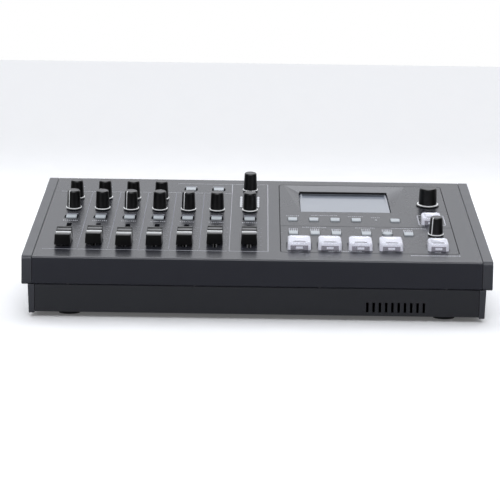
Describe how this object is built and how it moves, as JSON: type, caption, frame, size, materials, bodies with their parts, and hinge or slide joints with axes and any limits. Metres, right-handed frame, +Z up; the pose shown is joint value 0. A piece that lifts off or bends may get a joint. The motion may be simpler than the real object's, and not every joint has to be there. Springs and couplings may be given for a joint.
{
  "type": "lighting control desk",
  "caption": "Wedge-shaped desktop control desk with sliding faders, rotary knobs, push buttons, a sunk display and illuminated scene buttons between moulded end cheeks.",
  "frame": {"origin": "on the floor under the middle of the desk, at the centre of the footprint's bounding box", "axes": "+X to the operator's right, +Y away from the operator towards the sockets, +Z up"},
  "size_m": [0.377, 0.223, 0.0997],
  "materials": {
    "painted_steel": "dark grey satin powder coat on folded steel sheet",
    "dark_painted_steel": "charcoal satin paint on folded steel sheet",
    "cheek_plastic": "fine spark-eroded texture, grey",
    "fascia_plastic": "fine satin moulded grey",
    "black_plastic": "satin black moulded knobs and caps",
    "grey_key": "light grey moulded key caps",
    "clear_key": "clear cap over a white diffuser",
    "display_glass": "clear lens over an unlit grey liquid-crystal display",
    "circuit_board": "green solder mask with black components",
    "rubber": "matt moulded rubber",
    "white_trim": "white moulded rings, pointer lines and screen print",
    "bright_metal": "nickel-plated steel screws, shells and contacts"
  },
  "bodies": {
    "chassis": {"top_cover": "painted_steel", "bottom_tray": "dark_painted_steel", "left_end_cheek": "cheek_plastic", "right_end_cheek": "cheek_plastic", "control_fascia": "fascia_plastic", "display_module": "display_glass", "panel_board": "circuit_board", "socket_board": "circuit_board", "foot_front_left": "rubber", "foot_front_right": "rubber", "foot_rear_left": "rubber", "foot_rear_right": "rubber"},
    "fader_1": {"fader_1": "black_plastic"},
    "fader_master": {"fader_master": "black_plastic"},
    "gain_knob_1": {"gain_knob_1": "black_plastic"},
    "level_knob_1": {"level_knob_1": "black_plastic"},
    "monitor_knob": {"monitor_knob": "black_plastic"},
    "encoder_knob": {"encoder_knob": "black_plastic"},
    "effect_knob": {"effect_knob": "black_plastic"},
    "channel_button_1": {"channel_button_1": "grey_key"},
    "source_button_5": {"source_button_5": "grey_key"},
    "menu_button_1": {"menu_button_1": "grey_key"},
    "function_button_1": {"function_button_1": "grey_key"},
    "function_button_5": {"function_button_5": "grey_key"},
    "scene_button_1": {"scene_button_1": "clear_key"},
    "output_button": {"output_button": "clear_key"},
    "take_button": {"take_button": "clear_key"},
    "power_rocker": {"power_rocker": "black_plastic"},
    "fader_2": {"fader_2": "black_plastic"},
    "fader_3": {"fader_3": "black_plastic"},
    "fader_4": {"fader_4": "black_plastic"},
    "fader_5": {"fader_5": "black_plastic"},
    "fader_6": {"fader_6": "black_plastic"},
    "level_knob_2": {"level_knob_2": "black_plastic"},
    "level_knob_3": {"level_knob_3": "black_plastic"},
    "level_knob_4": {"level_knob_4": "black_plastic"},
    "level_knob_5": {"level_knob_5": "black_plastic"},
    "level_knob_6": {"level_knob_6": "black_plastic"},
    "level_knob_master": {"level_knob_master": "black_plastic"},
    "gain_knob_2": {"gain_knob_2": "black_plastic"},
    "gain_knob_3": {"gain_knob_3": "black_plastic"},
    "gain_knob_4": {"gain_knob_4": "black_plastic"},
    "channel_button_2": {"channel_button_2": "grey_key"},
    "channel_button_3": {"channel_button_3": "grey_key"},
    "channel_button_4": {"channel_button_4": "grey_key"},
    "channel_button_5": {"channel_button_5": "grey_key"},
    "channel_button_6": {"channel_button_6": "grey_key"},
    "channel_button_master": {"channel_button_master": "grey_key"},
    "source_button_6": {"source_button_6": "grey_key"},
    "menu_button_2": {"menu_button_2": "grey_key"},
    "menu_button_3": {"menu_button_3": "grey_key"},
    "menu_button_4": {"menu_button_4": "grey_key"},
    "menu_button_5": {"menu_button_5": "grey_key"},
    "function_button_2": {"function_button_2": "grey_key"},
    "function_button_3": {"function_button_3": "grey_key"},
    "function_button_4": {"function_button_4": "grey_key"},
    "function_button_6": {"function_button_6": "grey_key"},
    "scene_button_2": {"scene_button_2": "clear_key"},
    "scene_button_3": {"scene_button_3": "clear_key"},
    "scene_button_4": {"scene_button_4": "clear_key"}
  },
  "joints": [
    {"name": "fader_1_slide", "type": "slide", "parent": "chassis", "child": "fader_1", "axis": [0, 0.9848, 0.1736], "range_m": [-0.001, 0.044]},
    {"name": "fader_master_slide", "type": "slide", "parent": "chassis", "child": "fader_master", "axis": [0, 0.9848, 0.1736], "range_m": [-0.0083, 0.0367]},
    {"name": "gain_knob_1_turn", "type": "hinge", "parent": "chassis", "child": "gain_knob_1", "pos_m": [-0.1583, 0.04942, 0.07737], "axis": [0, -0.1736, 0.9848], "range_deg": [-125, 155]},
    {"name": "level_knob_1_turn", "type": "hinge", "parent": "chassis", "child": "level_knob_1", "pos_m": [-0.1583, 0.01869, 0.07196], "axis": [0, -0.1736, 0.9848], "range_deg": [-280, 0]},
    {"name": "monitor_knob_turn", "type": "hinge", "parent": "chassis", "child": "monitor_knob", "pos_m": [-0.0069, 0.07817, 0.08245], "axis": [0, -0.1736, 0.9848], "range_deg": [-100, 180]},
    {"name": "encoder_knob_turn", "type": "hinge", "parent": "chassis", "child": "encoder_knob", "pos_m": [0.1478, 0.04164, 0.076], "axis": [0, -0.1736, 0.9848], "continuous": true},
    {"name": "effect_knob_turn", "type": "hinge", "parent": "chassis", "child": "effect_knob", "pos_m": [0.1481, -0.04168, 0.06131], "axis": [0, -0.1736, 0.9848], "range_deg": [-280, 0]},
    {"name": "channel_button_1_press", "type": "slide", "parent": "chassis", "child": "channel_button_1", "axis": [0, -0.1736, 0.9848], "range_m": [-0.001, 0], "stiffness_N_per_m": 200, "springref_m": 0.003},
    {"name": "source_button_5_press", "type": "slide", "parent": "chassis", "child": "source_button_5", "axis": [0, -0.1736, 0.9848], "range_m": [-0.001, 0], "stiffness_N_per_m": 200, "springref_m": 0.003},
    {"name": "menu_button_1_press", "type": "slide", "parent": "chassis", "child": "menu_button_1", "axis": [0, -0.1736, 0.9848], "range_m": [-0.001, 0], "stiffness_N_per_m": 200, "springref_m": 0.003},
    {"name": "function_button_1_press", "type": "slide", "parent": "chassis", "child": "function_button_1", "axis": [0, -0.1736, 0.9848], "range_m": [-0.001, 0], "stiffness_N_per_m": 200, "springref_m": 0.003},
    {"name": "function_button_5_press", "type": "slide", "parent": "chassis", "child": "function_button_5", "axis": [0, -0.1736, 0.9848], "range_m": [-0.001, 0], "stiffness_N_per_m": 200, "springref_m": 0.003},
    {"name": "scene_button_1_press", "type": "slide", "parent": "chassis", "child": "scene_button_1", "axis": [0, -0.1736, 0.9848], "range_m": [-0.002, 0], "stiffness_N_per_m": 200, "springref_m": 0.004},
    {"name": "output_button_press", "type": "slide", "parent": "chassis", "child": "output_button", "axis": [0, -0.1736, 0.9848], "range_m": [-0.002, 0], "stiffness_N_per_m": 200, "springref_m": 0.004},
    {"name": "take_button_press", "type": "slide", "parent": "chassis", "child": "take_button", "axis": [0, -0.1736, 0.9848], "range_m": [-0.002, 0], "stiffness_N_per_m": 200, "springref_m": 0.004},
    {"name": "power_rocker_tilt", "type": "hinge", "parent": "chassis", "child": "power_rocker", "pos_m": [0.164, 0.1018, 0.03], "axis": [0, 0, 1], "range_deg": [0, 16]},
    {"name": "fader_2_slide", "type": "slide", "parent": "chassis", "child": "fader_2", "axis": [0, 0.9848, 0.1736], "range_m": [-0.0051, 0.0399]},
    {"name": "fader_3_slide", "type": "slide", "parent": "chassis", "child": "fader_3", "axis": [0, 0.9848, 0.1736], "range_m": [-0.0014, 0.0436]},
    {"name": "fader_4_slide", "type": "slide", "parent": "chassis", "child": "fader_4", "axis": [0, 0.9848, 0.1736], "range_m": [-0.0025, 0.0425]},
    {"name": "fader_5_slide", "type": "slide", "parent": "chassis", "child": "fader_5", "axis": [0, 0.9848, 0.1736], "range_m": [-0.0048, 0.0402]},
    {"name": "fader_6_slide", "type": "slide", "parent": "chassis", "child": "fader_6", "axis": [0, 0.9848, 0.1736], "range_m": [-0.0086, 0.0364]},
    {"name": "level_knob_2_turn", "type": "hinge", "parent": "chassis", "child": "level_knob_2", "pos_m": [-0.13365, 0.01869, 0.07196], "axis": [0, -0.1736, 0.9848], "range_deg": [-165, 115]},
    {"name": "level_knob_3_turn", "type": "hinge", "parent": "chassis", "child": "level_knob_3", "pos_m": [-0.109, 0.01869, 0.07196], "axis": [0, -0.1736, 0.9848], "range_deg": [-280, 0]},
    {"name": "level_knob_4_turn", "type": "hinge", "parent": "chassis", "child": "level_knob_4", "pos_m": [-0.08435, 0.01869, 0.07196], "axis": [0, -0.1736, 0.9848], "range_deg": [-130, 150]},
    {"name": "level_knob_5_turn", "type": "hinge", "parent": "chassis", "child": "level_knob_5", "pos_m": [-0.0597, 0.01869, 0.07196], "axis": [0, -0.1736, 0.9848], "range_deg": [-280, 0]},
    {"name": "level_knob_6_turn", "type": "hinge", "parent": "chassis", "child": "level_knob_6", "pos_m": [-0.03505, 0.01869, 0.07196], "axis": [0, -0.1736, 0.9848], "range_deg": [-120, 160]},
    {"name": "level_knob_master_turn", "type": "hinge", "parent": "chassis", "child": "level_knob_master", "pos_m": [-0.0069, 0.01869, 0.07196], "axis": [0, -0.1736, 0.9848], "range_deg": [-110, 170]},
    {"name": "gain_knob_2_turn", "type": "hinge", "parent": "chassis", "child": "gain_knob_2", "pos_m": [-0.13365, 0.04942, 0.07737], "axis": [0, -0.1736, 0.9848], "range_deg": [-160, 120]},
    {"name": "gain_knob_3_turn", "type": "hinge", "parent": "chassis", "child": "gain_knob_3", "pos_m": [-0.109, 0.04942, 0.07737], "axis": [0, -0.1736, 0.9848], "range_deg": [-140, 140]},
    {"name": "gain_knob_4_turn", "type": "hinge", "parent": "chassis", "child": "gain_knob_4", "pos_m": [-0.08435, 0.04942, 0.07737], "axis": [0, -0.1736, 0.9848], "range_deg": [-115, 165]},
    {"name": "channel_button_2_press", "type": "slide", "parent": "chassis", "child": "channel_button_2", "axis": [0, -0.1736, 0.9848], "range_m": [-0.001, 0], "stiffness_N_per_m": 200, "springref_m": 0.003},
    {"name": "channel_button_3_press", "type": "slide", "parent": "chassis", "child": "channel_button_3", "axis": [0, -0.1736, 0.9848], "range_m": [-0.001, 0], "stiffness_N_per_m": 200, "springref_m": 0.003},
    {"name": "channel_button_4_press", "type": "slide", "parent": "chassis", "child": "channel_button_4", "axis": [0, -0.1736, 0.9848], "range_m": [-0.001, 0], "stiffness_N_per_m": 200, "springref_m": 0.003},
    {"name": "channel_button_5_press", "type": "slide", "parent": "chassis", "child": "channel_button_5", "axis": [0, -0.1736, 0.9848], "range_m": [-0.001, 0], "stiffness_N_per_m": 200, "springref_m": 0.003},
    {"name": "channel_button_6_press", "type": "slide", "parent": "chassis", "child": "channel_button_6", "axis": [0, -0.1736, 0.9848], "range_m": [-0.001, 0], "stiffness_N_per_m": 200, "springref_m": 0.003},
    {"name": "channel_button_master_press", "type": "slide", "parent": "chassis", "child": "channel_button_master", "axis": [0, -0.1736, 0.9848], "range_m": [-0.001, 0], "stiffness_N_per_m": 200, "springref_m": 0.003},
    {"name": "source_button_6_press", "type": "slide", "parent": "chassis", "child": "source_button_6", "axis": [0, -0.1736, 0.9848], "range_m": [-0.001, 0], "stiffness_N_per_m": 200, "springref_m": 0.003},
    {"name": "menu_button_2_press", "type": "slide", "parent": "chassis", "child": "menu_button_2", "axis": [0, -0.1736, 0.9848], "range_m": [-0.001, 0], "stiffness_N_per_m": 200, "springref_m": 0.003},
    {"name": "menu_button_3_press", "type": "slide", "parent": "chassis", "child": "menu_button_3", "axis": [0, -0.1736, 0.9848], "range_m": [-0.001, 0], "stiffness_N_per_m": 200, "springref_m": 0.003},
    {"name": "menu_button_4_press", "type": "slide", "parent": "chassis", "child": "menu_button_4", "axis": [0, -0.1736, 0.9848], "range_m": [-0.001, 0], "stiffness_N_per_m": 200, "springref_m": 0.003},
    {"name": "menu_button_5_press", "type": "slide", "parent": "chassis", "child": "menu_button_5", "axis": [0, -0.1736, 0.9848], "range_m": [-0.001, 0], "stiffness_N_per_m": 200, "springref_m": 0.003},
    {"name": "function_button_2_press", "type": "slide", "parent": "chassis", "child": "function_button_2", "axis": [0, -0.1736, 0.9848], "range_m": [-0.001, 0], "stiffness_N_per_m": 200, "springref_m": 0.003},
    {"name": "function_button_3_press", "type": "slide", "parent": "chassis", "child": "function_button_3", "axis": [0, -0.1736, 0.9848], "range_m": [-0.001, 0], "stiffness_N_per_m": 200, "springref_m": 0.003},
    {"name": "function_button_4_press", "type": "slide", "parent": "chassis", "child": "function_button_4", "axis": [0, -0.1736, 0.9848], "range_m": [-0.001, 0], "stiffness_N_per_m": 200, "springref_m": 0.003},
    {"name": "function_button_6_press", "type": "slide", "parent": "chassis", "child": "function_button_6", "axis": [0, -0.1736, 0.9848], "range_m": [-0.001, 0], "stiffness_N_per_m": 200, "springref_m": 0.003},
    {"name": "scene_button_2_press", "type": "slide", "parent": "chassis", "child": "scene_button_2", "axis": [0, -0.1736, 0.9848], "range_m": [-0.002, 0], "stiffness_N_per_m": 200, "springref_m": 0.004},
    {"name": "scene_button_3_press", "type": "slide", "parent": "chassis", "child": "scene_button_3", "axis": [0, -0.1736, 0.9848], "range_m": [-0.002, 0], "stiffness_N_per_m": 200, "springref_m": 0.004},
    {"name": "scene_button_4_press", "type": "slide", "parent": "chassis", "child": "scene_button_4", "axis": [0, -0.1736, 0.9848], "range_m": [-0.002, 0], "stiffness_N_per_m": 200, "springref_m": 0.004}
  ]
}
